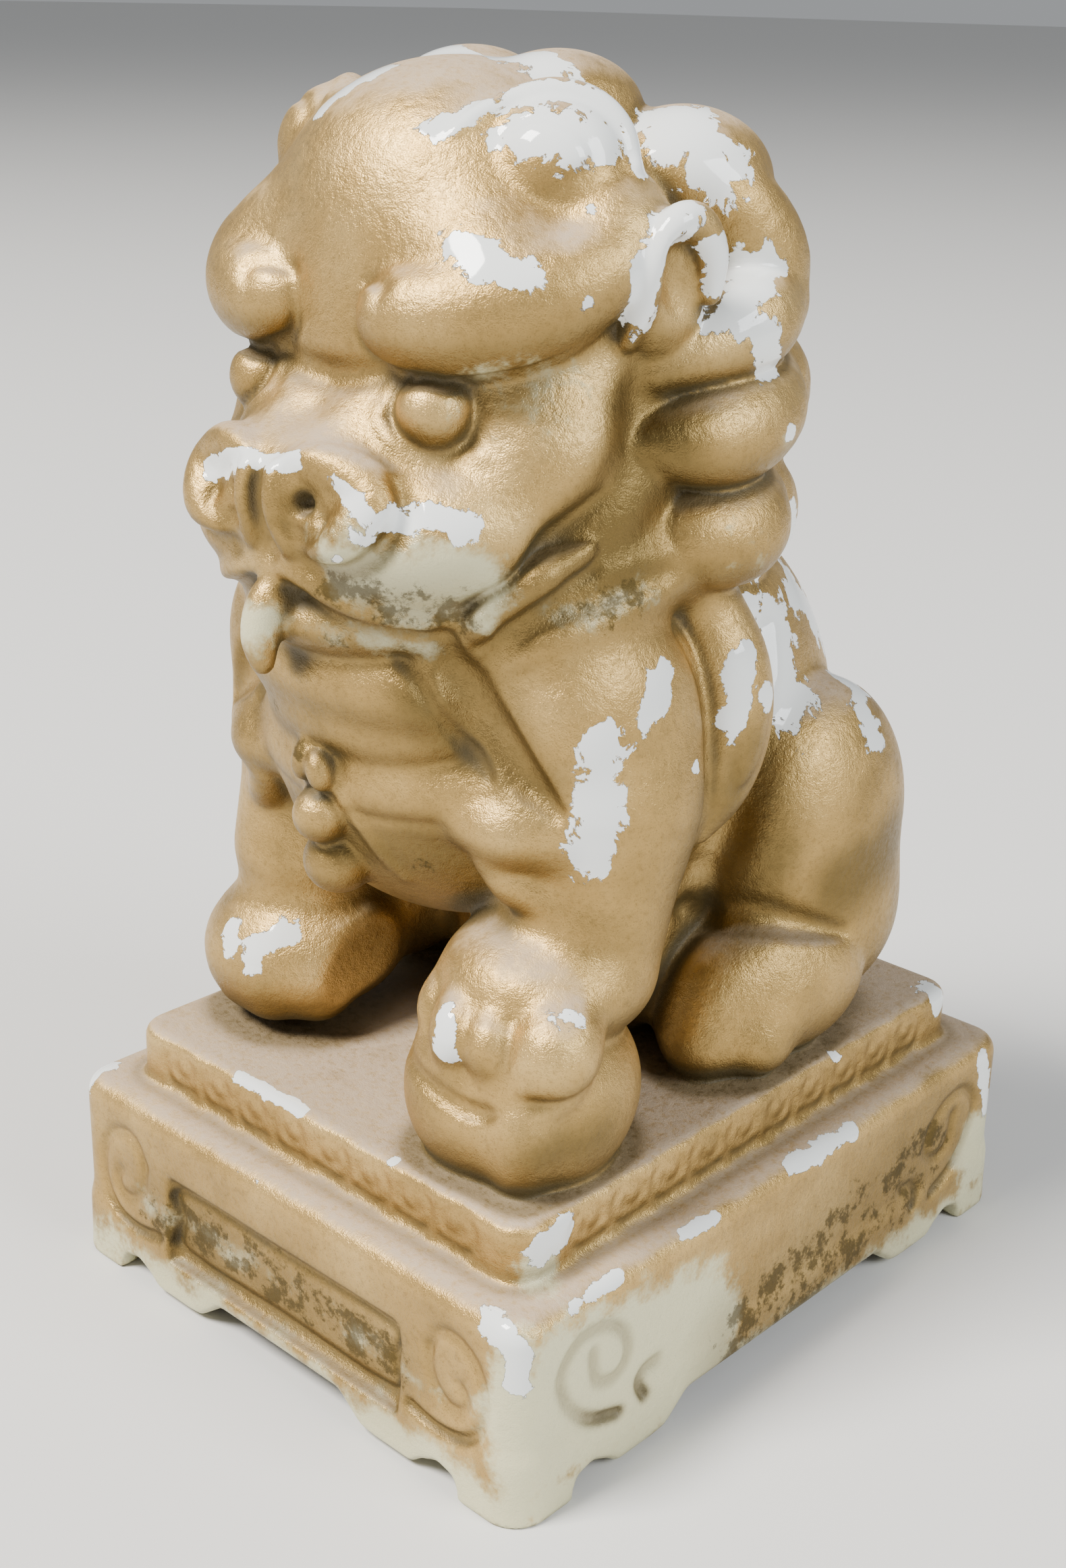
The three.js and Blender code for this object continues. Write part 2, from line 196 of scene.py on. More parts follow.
# ---- clay: the field, and what is pressed onto it or cut from it ----
class Clay:
    def __init__(self, low, high, cell):
        self.cell = cell
        self.low = np.array(low, float)
        counts = np.ceil((np.array(high) - self.low) / cell).astype(int) + 1
        self.axes = [self.low[i] + cell * np.arange(counts[i]) for i in range(3)]
        self.value = np.full(counts, FAR, np.float32)
        self.nearest = np.full(counts, FAR, np.float32)
        self.owner = np.full(counts, -1, np.int16)
        self.names = []

    def window(self, form):
        spans = []
        for axis, low, high in zip(self.axes, form.low - REACH, form.high + REACH):
            spans.append(slice(np.searchsorted(axis, low), np.searchsorted(axis, high)))
        spots = np.meshgrid(*(axis[span].astype(np.float32) for axis, span in zip(self.axes, spans)),
                            indexing="ij", sparse=True)
        return tuple(spans), form.distance(*spots).astype(np.float32)

    def add(self, name, form, blend):
        """Presses a form onto the clay and lets it flow into what is there over blend millimetres."""
        if name not in self.names:
            self.names.append(name)
        span, new = self.window(form)
        old = self.value[span]
        mix = np.clip(0.5 + 0.5 * (old - new) / max(blend, 1e-3), 0, 1)
        self.value[span] = old + (new - old) * mix - blend * mix * (1 - mix)
        closer = new < self.nearest[span]
        self.owner[span][closer] = self.names.index(name)
        self.nearest[span][closer] = new[closer]

    def add_pair(self, name, form, blend):
        """The form and its mirror image, for a piece of each side or for one that spans both."""
        sides = (name, name) if name in frame["nodes"] else (f"{name}_left", f"{name}_right")
        self.add(sides[0], form, blend)
        self.add(sides[1], form.mirrored(), blend)

    def cut(self, form, blend):
        span, new = self.window(form)
        old = self.value[span]
        new = -new
        mix = np.clip(0.5 + 0.5 * (new - old) / max(blend, 1e-3), 0, 1)
        self.value[span] = old + (new - old) * mix + blend * mix * (1 - mix)

    def cut_pair(self, form, blend):
        self.cut(form, blend)
        self.cut(form.mirrored(), blend)

    def settle(self, points, lift, steps=4):
        """Lays a smooth path on the clay, its middle lift radii above the surface."""
        path = smooth_path(points, steps)
        spots, radius = path[:, :3].copy(), path[:, 3]
        for _ in range(5):
            slope = self.slope(spots)
            length = np.maximum((slope ** 2).sum(1), 0.1)
            spots -= np.clip((self.sample(spots) - lift * radius) / length, -4, 4)[:, None] * slope
        return np.column_stack([spots, radius])

    def score(self, *points, blend=2.0, lift=0.3):
        """Draws a groove along a path on the surface."""
        self.cut(tube(*self.settle(points, lift), steps=1), blend)

    def score_pair(self, *points, blend=2.0, lift=0.3):
        path = self.settle(points, lift)
        self.cut_pair(tube(*path, steps=1), blend)

    def lay(self, name, *points, blend=1.5, lift=0.0):
        """Lays a roll of clay along a path on the surface."""
        self.add(name, tube(*self.settle(points, lift), steps=1), blend)

    def lay_pair(self, name, *points, blend=1.5, lift=0.0):
        self.add_pair(name, tube(*self.settle(points, lift), steps=1), blend)

    def soften(self, passes):
        """Rounds every crease and edge a little, as a coat of glaze does."""
        for _ in range(passes):
            for axis in range(3):
                middle = [slice(None)] * 3
                before, after = list(middle), list(middle)
                middle[axis], before[axis], after[axis] = slice(1, -1), slice(0, -2), slice(2, None)
                smooth = (0.5 * self.value[tuple(middle)] + 0.25 * self.value[tuple(before)]
                          + 0.25 * self.value[tuple(after)])
                self.value[tuple(middle)] = smooth

    def sample(self, points):
        """The field at points, by blending the eight grid values round each."""
        at = (points - self.low) / self.cell
        first = np.clip(np.floor(at).astype(int), 0, np.array(self.value.shape) - 2)
        part = np.clip(at - first, 0, 1)
        total = np.zeros(len(points))
        for corner in np.ndindex(2, 2, 2):
            weight = np.prod(np.where(corner, part, 1 - part), axis=1)
            i, j, k = (first + corner).T
            total += weight * self.value[i, j, k]
        return total

    def slope(self, points):
        step = 0.7 * self.cell
        return np.stack([(self.sample(points + step * axis) - self.sample(points - step * axis))
                         / (2 * step) for axis in np.eye(3)], axis=1)

    def surface(self):
        """The surface as points and quads, one point in each grid cube that it passes through."""
        inside = self.value < 0
        corners = list(np.ndindex(2, 2, 2))
        size = np.array(inside.shape) - 1
        count = sum(inside[i:i + size[0], j:j + size[1], k:k + size[2]].astype(np.int8)
                    for i, j, k in corners)
        cubes = np.argwhere((count > 0) & (count < 8))
        number = np.full(size, -1, np.int64)
        number[tuple(cubes.T)] = np.arange(len(cubes))
        values = {c: self.value[tuple((cubes + c).T)] for c in corners}
        total = np.zeros((len(cubes), 3))
        crossings = np.zeros(len(cubes))
        for start in corners:
            for axis in range(3):
                if start[axis]:
                    continue
                end = tuple(1 if i == axis else start[i] for i in range(3))
                a, b = values[start], values[end]
                crossed = (a < 0) != (b < 0)
                share = np.where(crossed, a / np.where(crossed, a - b, 1), 0)
                spot = np.array(start, float) + share[:, None] * np.eye(3)[axis]
                total += np.where(crossed[:, None], spot, 0)
                crossings += crossed
        points = self.low + self.cell * (cubes + total / crossings[:, None])
        quads = []
        for axis in range(3):
            u, v = (axis + 1) % 3, (axis + 2) % 3
            low_end = [slice(None)] * 3
            high_end = list(low_end)
            low_end[axis], high_end[axis] = slice(0, -1), slice(1, None)
            starts, ends = inside[tuple(low_end)], inside[tuple(high_end)]
            for leaving in (True, False):
                edges = np.argwhere(starts & ~ends if leaving else ~starts & ends)
                edges = edges[(edges[:, u] > 0) & (edges[:, v] > 0)]
                edges = edges[(edges[:, u] < size[u]) & (edges[:, v] < size[v])]
                ring = []
                for du, dv in ((-1, -1), (0, -1), (0, 0), (-1, 0)):
                    cube = edges.copy()
                    cube[:, u] += du
                    cube[:, v] += dv
                    ring.append(number[tuple(cube.T)])
                quad = np.stack(ring, axis=1)
                quads.append(quad if leaving else quad[:, ::-1])
        quads = np.vstack(quads)
        for _ in range(2):
            slope = self.slope(points)
            length = np.maximum((slope ** 2).sum(1), 0.05)
            move = (self.sample(points) / length)[:, None] * slope
            points = points - np.clip(move, -0.4 * self.cell, 0.4 * self.cell)
        return points, quads


# ---- the lion ----
def sculpt_body(clay):
    clay.add("body", ellipsoid((0, 22, 142), (50, 59, 62), (28, 0, 0)), 0)
    clay.add("body", ellipsoid((0, -31, 148), (47, 47, 40)), 14)
    clay.add("body", ellipsoid((0, 36, 88), (44, 44, 34)), 12)
    clay.add_pair("haunch", ellipsoid((45.5, 41, 122), (22, 32, 37)), 4)
    clay.add_pair("haunch", ellipsoid((47, 44, 96), (20.5, 29, 26)), 8)
    clay.add_pair("foreleg", ellipsoid((44, -36, 158), (22, 28, 36)), 4)
    clay.add_pair("foreleg", ellipsoid((46, -42, 172), (16, 22, 22)), 6)
    clay.add_pair("foreleg", tube((46, -38, 146, 21), (47, -41, 130, 19), (46, -45, 112, 19)), 8)
    clay.add_pair("body", ellipsoid((36, -50, 175), (13, 14, 17)), 6)
    clay.add_pair("shoulder_flame", tube((47, -16, 197, 10), (49, -11, 186, 11), (54, -9, 174, 12),
                                         (56, -10, 161, 12), (57, -13, 149, 9), (58, -18, 138, 3)), 1.5)
    clay.score_pair((55, -26, 192, 1), (59, -24, 184, 1.4), (62, -22, 176, 1.5), (65, -22, 163, 1.7),
                    (64, -23, 150, 1.7), (62, -26, 138, 1.4), (58, -28, 126, 1), blend=3)
    clay.score_pair((64, -6, 165, 0.7), (66, -8, 154, 1), (64, -14, 149, 1), (65, -16, 156, 0.7))
    clay.add("tail", tube((0, 76, 72, 9), (0, 82, 90, 12), (0, 82, 112, 12), (0, 76, 134, 9),
                          (0, 70, 150, 4), flat=((0, 1, 0.2), 0.75)), 3)
    clay.add_pair("tail", tube((9, 80, 78, 5), (14, 82, 94, 7), (12, 80, 112, 5), (8, 76, 122, 2)), 2)


def toes(clay, name, places, blend):
    """Each toe runs out and down from (x, y), a little thicker at its knuckle."""
    for x, y, z, size in places:
        clay.add(name, tube((0.9 * x, y + 10, z + 7, size - 2), (x, y, z, size),
                            (x, y - 1.5, z - 7, size - 2.5)), blend)


def sculpt_paws(clay):
    clay.add("ball", ellipsoid((43, -56, 82), (24.5, 27, 24)), 2)
    clay.add("ball", ellipsoid((35, -67, 84), (15, 15, 20)), 6)
    clay.add("ball", ellipsoid((55, -60, 82), (13, 17, 18)), 5)
    clay.add("forepaw_left", ellipsoid((43, -52, 109), (23.5, 24, 15)), 4)
    toes(clay, "forepaw_left", ((29.5, -70.5, 103, 6), (40, -76, 103, 6.8), (49, -75, 103, 6.2),
                                (60.5, -67, 102, 10.5)), 2.2)
    clay.score((22, -76, 92, 1.4), (32, -84, 91, 2), (42, -88, 90, 2.4), (53, -88, 89, 2.8),
               (62, -78, 92, 2.2), (69, -64, 95, 1.5), blend=2)
    clay.lay("ball", (57, -76, 92, 3), (60, -76, 82, 4), (58, -76, 71, 3), blend=8, lift=-0.4)
    clay.add("body", ellipsoid((3, 0, 94), (36, 24, 34)), 8)
    clay.add("body", ellipsoid((-38, -16, 104), (15, 20, 30)), 8)
    clay.add("forepaw_right", ellipsoid((-46, -44, 87), (24, 26, 20)), 7)
    toes(clay, "forepaw_right", ((-61, -56, 84, 8), (-51, -61, 84, 9), (-40, -61, 84, 9),
                                 (-30, -54, 84, 8)), 8)
    clay.add_pair("hind_paw", ellipsoid((54, 24, 86), (16.5, 26, 20), (0, 0, -6)), 1)
    clay.add_pair("hind_paw", tube((51, 16, 94, 13), (51, 4, 86, 11.5), (50, 0, 77, 9)), 4)
    for x, y, size in ((41, 1, 7), (50.5, -3.5, 9), (61, 6, 8)):
        clay.add_pair("hind_paw", tube((0.95 * x, y + 9, 86, size), (x, y + 1, 76, size)), 7)
    clay.score_pair((42, 3, 105.5, 2), (51, 8, 105, 3.2), (59, 15, 104, 3.2), (64, 25, 101, 2),
                    (66, 32, 99, 0.8), blend=4, lift=0.2)
    clay.score_pair((46, 24, 176, 2), (49, 15, 160, 3.5), (54, 6, 144, 4.5), (55, 1, 128, 4.5),
                    (52, -2, 114, 3.5), blend=8, lift=0.1)


def sculpt_head(clay):
    clay.add("head", ellipsoid((0, -9, 222), (54, 57, 56)), 2)
    clay.add_pair("head", ellipsoid((46, -31, 246), (9, 10, 10)), 5)
    clay.add("head", ellipsoid((0, -32, 250), (50, 45, 52)), 6)
    clay.add("head", ellipsoid((0, -46, 272), (36, 27, 28)), 10)
    clay.add_pair("cheek", ellipsoid((34, -42, 222), (22, 27, 27)), 8)
    clay.add_pair("brow", ellipsoid((30, -56, 262), (19, 18, 14)), 10)
    clay.add_pair("brow", tube((15, -72, 254.5, 7.5), (21, -72.5, 254, 10.5), (31, -67.5, 255, 12.5),
                               (41, -58, 258.5, 12.5), (48.5, -48, 264, 9.5), (50, -42, 270, 6.5)), 2.2)
    clay.add_pair("head", ellipsoid((42, -38, 272), (12, 14, 12)), 6)
    clay.add_pair("nose", tube((9, -65, 231, 14), (8, -80, 219, 13)), 5)
    clay.add_pair("nose", tube((18, -66, 227, 11), (17, -76, 218, 11)), 6)
    clay.add_pair("eye", ellipsoid((26.5, -71.5, 236), (7.8, 8, 8)), 1.5)
    clay.lay_pair("cheek", (18, -78, 241, 1.2), (18, -79, 235, 1.8), (21.5, -78, 229, 2.2),
                  (29, -75, 226.5, 2.2), (37, -69, 228, 1.6), blend=1.5, lift=-0.3)
    clay.score((-15, -77, 243, 1), (-8, -78, 241.5, 1.8), (0, -78, 241, 1.8), (8, -78, 241.5, 1.8),
               (15, -77, 243, 1), blend=4)
    clay.score_pair((8.5, -80, 257, 0.6), (8.5, -80, 250, 1), (12.5, -79, 245, 1.3),
                    (21, -77, 242.5, 1.4), (31, -73, 242, 1.3), (41, -65, 244, 1.3),
                    (49, -55, 249.5, 1.3), (54, -46, 257, 1.2), (56, -40, 265, 0.7), blend=1.5, lift=0)
    clay.score_pair((10, -80, 262, 0.7), (15, -83, 266, 1.3), (20, -84, 264, 1.4), (20, -84, 259, 0.8),
                    blend=2.5)


def sculpt_muzzle(clay):
    clay.add("lower_jaw", ellipsoid((0, -56, 190), (40, 31, 11)), 2)
    clay.add("lower_jaw", ellipsoid((0, -64, 189.5), (27, 27, 10.5)), 4)
    clay.add_pair("cheek", tube((34, -66, 188, 6), (42, -58, 191, 9), (47, -44, 196, 11),
                                (49, -26, 202, 11)), 6)
    clay.add("muzzle", ellipsoid((0, -67, 212), (37, 27, 17)), 7)
    clay.add_pair("muzzle", ellipsoid((18, -74, 207), (20, 18, 14)), 7)
    clay.add_pair("muzzle", ellipsoid((29, -64, 211), (18, 19, 15)), 8)
    clay.lay("muzzle", (-40, -66, 194.5, 2.6), (-32, -76, 194, 3), (-18, -88, 196.5, 3.2),
             (0, -94, 201, 3.4), (18, -88, 196.5, 3.2), (32, -76, 194, 3), (40, -66, 194.5, 2.6),
             blend=2.5)
    clay.add("nose", ellipsoid((0, -84.5, 219), (21, 10.5, 10)), 5)
    clay.lay_pair("nose", (7, -93, 226, 2), (13, -93, 228, 3.6), (20, -90, 226, 5),
                  (24.5, -86, 219, 6), (22, -90, 212, 5.6), (16, -93, 209.5, 3.5), blend=2.5, lift=-0.1)
    clay.lay_pair("nose", (4, -95, 223, 2.6), (4.5, -95, 215, 2.6), (6, -95, 207, 2), blend=2)
    clay.cut(ellipsoid((11, -96, 217.5), (2.6, 6.5, 2.4), (0, -20, 0)), 2.5)
    clay.cut(ellipsoid((-11, -97, 217.5), (1.8, 4, 1.8), (0, 20, 0)), 2.5)
    clay.score_pair((12, -97, 221.5, 0.7), (16, -97, 219, 1.1), (17, -97, 214.5, 1.2),
                    (13, -98, 211, 1.1), (8.5, -98, 212.5, 0.8), blend=1.8, lift=0.1)
    clay.score_pair((29, -84, 224, 0.7), (31.5, -84, 217, 1.3), (28, -88, 209.5, 1.5),
                    (20, -92, 205.5, 1.2), (12, -94, 204.5, 0.7), blend=3.5, lift=0.2)
    clay.score((0, -98, 221, 0.9), (0, -98, 212, 1.4), (0, -97, 205, 0.8), blend=3)
    clay.add("beard", tube((-1, -88, 199, 4), (-2, -92.5, 194, 4.6), (-2.5, -94.5, 187, 4.3),
                           (-2, -94.5, 181, 2.8)), 3)
    clay.score_pair((5, -94, 197, 1), (18, -89, 193, 1.3), (30, -79, 190.5, 1.4), (38, -70, 191, 1.2),
                    blend=1.6, lift=0)
    clay.score_pair((49, -58, 211, 2.5), (54, -50, 218, 4), (57, -42, 227, 4.5), (57, -38, 238, 3.5),
                    (56, -36, 247, 2), blend=8, lift=0.35)
    clay.score_pair((38, -72, 193, 1.2), (41, -68, 200, 1.8), (45, -63, 207, 2.4), (51, -56, 213, 2.2),
                    (55, -49, 219, 1), blend=3, lift=0)
    clay.lay_pair("cheek", (36, -73, 189, 2), (39, -70, 193.5, 3.6), (43.5, -65.5, 199.5, 4.6),
                  (49, -58.5, 205, 4.2), (53.5, -52.5, 209, 2), blend=1, lift=0.1)
    clay.score_pair((38, -72, 187.5, 0.8), (43.5, -68, 193, 1.5), (50, -60.5, 199, 1.9),
                    (55, -52, 204.5, 1.5), blend=1.5)
    clay.score_pair((39, -70, 184, 1.2), (45, -66, 190, 1.8), (50, -61, 195, 2.2),
                    (54.5, -52, 198.5, 2.4), (57.5, -43, 200.5, 2.2), (59, -34, 202, 1.4),
                    blend=4, lift=0.1)


def sculpt_mane(clay):
    clay.add_pair("crown_front", ellipsoid((13, -22, 291.5), (17, 20, 13)), 2)
    clay.add_pair("crown_back", ellipsoid((33, -4, 278), (19, 21, 16)), 2)
    clay.add_pair("crown_curl", ellipsoid((31, -43, 282), (16, 15, 14.5)), 2)
    clay.lay("crown_curl_left", (20, -60, 287, 1.1), (22, -53, 291, 2.4), (28, -45, 295, 3.8),
             (37, -36, 295, 4.2), (44, -33, 289, 3.6), (46, -37, 281, 2.4), blend=1.2, lift=-0.15)
    clay.lay("crown_curl_right", (-22, -53, 291, 1.6), (-28, -45, 295, 2.4), (-37, -36, 295, 3),
             (-44, -33, 289, 2.6), (-46, -37, 281, 2), blend=3, lift=-0.4)
    clay.score_pair((29, -58, 290, 0.8), (34, -53, 293, 1.1), (41, -48, 290, 1.1), (43, -46, 284, 1),
                    (39, -50, 281, 0.7), blend=1.5)
    clay.add_pair("mane_upper", tube((40, -14, 281, 6), (45, -3, 273, 11), (47, 5, 262, 12),
                                     (45, 10, 252, 8)), 2)
    clay.add_pair("mane_ear", tube((50, -31, 243, 5), (54, -19, 247, 8.5), (54.5, -7, 251, 11),
                                   (50, 5, 254, 10)), 1.5)
    clay.add_pair("mane_cheek", tube((50, -36, 228, 4), (54, -27, 228, 8.5), (56, -15, 229, 12),
                                     (54.5, -2, 232, 11.5), (49, 9, 236, 8)), 1.2)
    clay.add_pair("mane_jaw", tube((48, -29, 208, 5), (54, -21, 206.5, 10.5), (55.5, -9, 207, 12.5),
                                   (50, 3, 210, 9.5)), 1.2)
    clay.add_pair("mane_nape", tube((44, 10, 239, 8), (37, 19, 233, 14), (30, 26, 222, 13),
                                    (26, 33, 212, 7)), 2)
    clay.add_pair("mane_lower", tube((45, 6, 214, 8), (39, 16, 206, 13), (31, 25, 197, 13),
                                     (25, 31, 188, 7)), 2)
    clay.add("mane_spine_upper", ellipsoid((0, 18, 268), (22, 19, 15)), 2)
    clay.add("mane_spine_middle", ellipsoid((0, 38, 242), (21, 15, 20)), 2)
    clay.add("mane_spine_lower", ellipsoid((0, 42, 206), (20, 14, 23)), 2)
    clay.add_pair("ear", ellipsoid((51, -33, 261), (7.5, 11.5, 18), (22, 0, 0)), 1.5)
    clay.add_pair("ear", tube((51, -41, 250, 2.4), (55, -42, 257, 3), (57.5, -41.5, 265, 3.6),
                              (59, -37, 273, 4), (59.5, -31, 273, 4.2), (60, -27, 267, 3.8),
                              (59.5, -26, 259, 2.6)), 1)
    clay.cut_pair(ellipsoid((62, -35, 261), (6, 5.5, 11), (22, 0, 0)), 1.5)


def sculpt_chest(clay):
    clay.add("bib", ellipsoid((0, -61.5, 175.5), (39, 24, 17.5)), 2.5)
    clay.add("collar_band", tube((-42, -53, 154, 8), (-23, -65, 152, 9), (0, -70, 151.5, 9),
                                 (23, -65, 152, 9), (42, -53, 154, 8)), 6)
    clay.lay("bib", (-34, -66, 163, 2.4), (-17, -79, 161, 3.6), (0, -84, 160.5, 3.8),
             (17, -79, 161, 3.8), (30, -71, 163, 2.4), blend=6, lift=-0.05)
    clay.score((-36, -68, 145.5, 0.6), (-20, -79, 143.5, 1), (0, -83, 143, 1), (20, -79, 143.5, 1),
               (36, -68, 145.5, 0.6), blend=1.5)
    clay.add_pair("ribbon", tube((31, -70, 191, 7), (34, -66, 181, 8), (39, -62, 170, 8.5),
                                 (46, -58.5, 160, 7.5), (51, -57, 153, 5),
                                 flat=((0.5, -0.85, 0.1), 0.6)), 4)
    clay.score_pair((33, -74, 190, 3), (34.5, -71, 182, 5.2), (39, -68, 171, 6.2), (46, -64, 161, 5.5),
                    (53, -61, 153, 3), blend=1.2, lift=0.25)
    clay.score_pair((23, -78, 184, 1.2), (28, -77, 179, 1.9), (32, -75.5, 172, 2.2),
                    (34.5, -71.5, 165, 2.2), (38, -67, 159, 1.5), blend=1.5, lift=0.1)
    clay.add("bell_knot", ellipsoid((-4.5, -81, 155), (3.2, 3.4, 5.5), (0, 15, 0)), 2)
    clay.add("bell_knot", ellipsoid((1.5, -82, 154), (3.2, 3.4, 5), (0, -15, 0)), 2)
    clay.add("bell", ellipsoid((-1.5, -79, 142), (6.8, 6.8, 6.6)), 1.6)
    clay.add("bell_tassel", ellipsoid((-2.5, -73, 129), (8.5, 8.5, 8)), 2)
    clay.lay("bell_tassel", (5, -80, 149, 0.9), (9, -80, 142, 1.2), (13, -76, 134, 1.2),
             (17, -72, 126, 0.9), blend=2)
    clay.add_pair("side_bell", tube((34, -65, 146, 6), (41, -62, 146, 8.5), (48, -57, 146, 7.5)), 4)
    clay.add_pair("side_bell", tube((38, -64, 138, 4), (42, -61, 133, 5), (48, -56, 130, 4)), 4)


# ---- the plinth ----
CORNER = 8                           # radius of its upright corners
FLARE = 1                            # how much its foot spreads
WALL = 5
TOP_WALL = 6
APRON_DEPTH = 12                     # how far in from a face its arches are cut
PANEL_MIDDLE = 24                    # heights of the middle of the decoration
FRONT_SCROLL_AT, SIDE_SCROLL_AT = (60, 29), (72, 30)    # from the face's middle, and up
KEY_PITCH, KEY_MIDDLE = 14, 59
SCROLL_WIDTH, KEY_WIDTH, RIM_WIDTH = 1.3, 1.1, 1.2      # radii of the grooves


def below(line, half, depth, along):
    """The air under the aprons of one pair of sides: what is lower than line(distance from the middle)."""
    across = 1 - along
    low, high = [-half[0] - 9, -half[1] - 9, -30], [half[0] + 9, half[1] + 9, 10]

    def distance(x, y, z):
        spot = (x, y)
        under = (z - line(spot[along])) * 0.8
        return np.maximum(under, half[across] - depth - np.abs(spot[across]))

    return Form(low, high, distance)


def apron(half):
    marks = ((0, 7.5), (half - 58, 7.5), (half - 50, 1.5), (half - 46, 1), (half - 33, 1),
             (half - 30, 3.5), (half - 24.5, 6), (half - 19, 4.5), (half - 16.5, -4), (half, -4))
    where, height = zip(*marks)
    return lambda s: np.interp(np.abs(s), where, height)


FRONT_SCROLL = (((-8, 6), (-5, 11.5), (0, 13), (6, 10), (9.5, 3), (9, -6), (4, -12), (-5, -13.5),
                 (-14, -12)), ((-8, 6), (-7, -1), (-3, -5.5), (2, -6), (4, -2.5), (2, 1)))
SIDE_SCROLL = (((1, 6), (0.5, 1), (-1, -3), (-6.5, -5), (-11, -1.5), (-10, 5), (-4, 10.5), (5.5, 11.5),
                (11.5, 5), (9, -4), (2, -11.5), (-8, -15)),
               ((-22, -8), (-17, -8.5), (-15, -11.5), (-17, -15.5)))
PANEL_RIM = ((-39, 0), (-39, 9), (0, 9), (39, 9), (39, 0), (39, -9), (0, -9), (-39, -9), (-39, 0))
KEY = ((-5, -4), (5, -4), (5, 4), (-3, 4), (-3, -1), (2, -1), (2, 1.5))


def groove(path, width, place):
    """A shallow groove through points of a side face, which place puts in space."""
    points = [(*place(u, v), width) for u, v in path]
    return tube(*points, steps=3)


def sculpt_plinth(clay):
    half = BASE_HALF - FLARE
    clay.add("plinth_base", rounded_box(half, -20, BASE_TOP, CORNER, 5), 0)
    clay.add("plinth_base", rounded_box(half, -6, 18, CORNER, 3, flare=FLARE, flare_height=24), 4)
    clay.add("plinth_step", rounded_box(STEP_HALF, 30, STEP_TOP, CORNER, 3), 3)
    clay.cut(below(apron(half[0]), half, APRON_DEPTH, 0), 2)
    clay.cut(below(apron(half[1]), half, APRON_DEPTH, 1), 2)
    clay.cut(rounded_box(half - WALL, -40, BASE_TOP - TOP_WALL, 8, 4), 2)
    clay.cut(rounded_box(STEP_HALF - TOP_WALL, 20, STEP_TOP - TOP_WALL, 6, 4), 2)
    panel = rounded_box((42.5, 3.4), 12, 36, 2.5, 1)
    for end in (1, -1):
        face = end * (half[1] + 1.2)
        clay.cut(Form(panel.low + (0, face, 0), panel.high + (0, face, 0),
                      lambda x, y, z: panel.distance(x, y - face, z)), 0.8)
        clay.cut(groove(PANEL_RIM, RIM_WIDTH, lambda u, v: (u, end * (half[1] - 2.2), PANEL_MIDDLE + v)), 1)
        for side in (1, -1):
            decorate(clay, half, side, end)


def decorate(clay, half, side, end):
    """The grooves of a quarter of the plinth: scrolls on the lower tier and keys on the upper one."""
    out, up = FRONT_SCROLL_AT
    for path in FRONT_SCROLL:
        clay.cut(groove(path, SCROLL_WIDTH,
                        lambda u, v: (side * (out + u), end * half[1], up + v)), 1.2)
    along, rise = SIDE_SCROLL_AT
    for path in SIDE_SCROLL:
        clay.cut(groove(path, SCROLL_WIDTH,
                        lambda u, v: (side * half[0], end * (along + u), rise + v)), 1.2)
    outside = STEP_HALF + 0.3
    for at in np.arange(KEY_PITCH / 2, STEP_HALF[1] - 14, KEY_PITCH):
        clay.cut(groove(KEY, KEY_WIDTH,
                        lambda u, v: (side * outside[0], end * (at + u), KEY_MIDDLE + v)), 0.8)
    for at in np.arange(KEY_PITCH / 2, STEP_HALF[0] - 12, KEY_PITCH):
        clay.cut(groove(KEY, KEY_WIDTH,
                        lambda u, v: (side * (at + u), end * outside[1], KEY_MIDDLE + v)), 0.8)


def sculpt():
    """The whole statue, open where the record says that the CAD is, and cut off level at the floor."""
    low = np.array((-BASE_HALF[0] - MARGIN, -BASE_HALF[1] - 2 * MARGIN, -2 * MARGIN))
    high = np.array((BASE_HALF[0] + MARGIN, BASE_HALF[1] + MARGIN, CROWN + MARGIN))
    clay = Clay(low, high, CELL)
    sculpt_body(clay)
    sculpt_paws(clay)
    sculpt_head(clay)
    sculpt_muzzle(clay)
    sculpt_mane(clay)
    sculpt_chest(clay)
    sculpt_plinth(clay)
    for opening in frame["record"]["physics"]["openings"]:
        air = np.array(opening["box_m"]) / MM - (0, MIDDLE_Y, 0)
        clay.cut(block(air[0], air[1], OPENING_EDGE), OPENING_EDGE)
    clay.soften(1)
    ground = np.array((high[0] + UNDERGROUND, high[1] + UNDERGROUND, 0))
    clay.cut(block(low - UNDERGROUND, ground, 0), 0)
    return clay


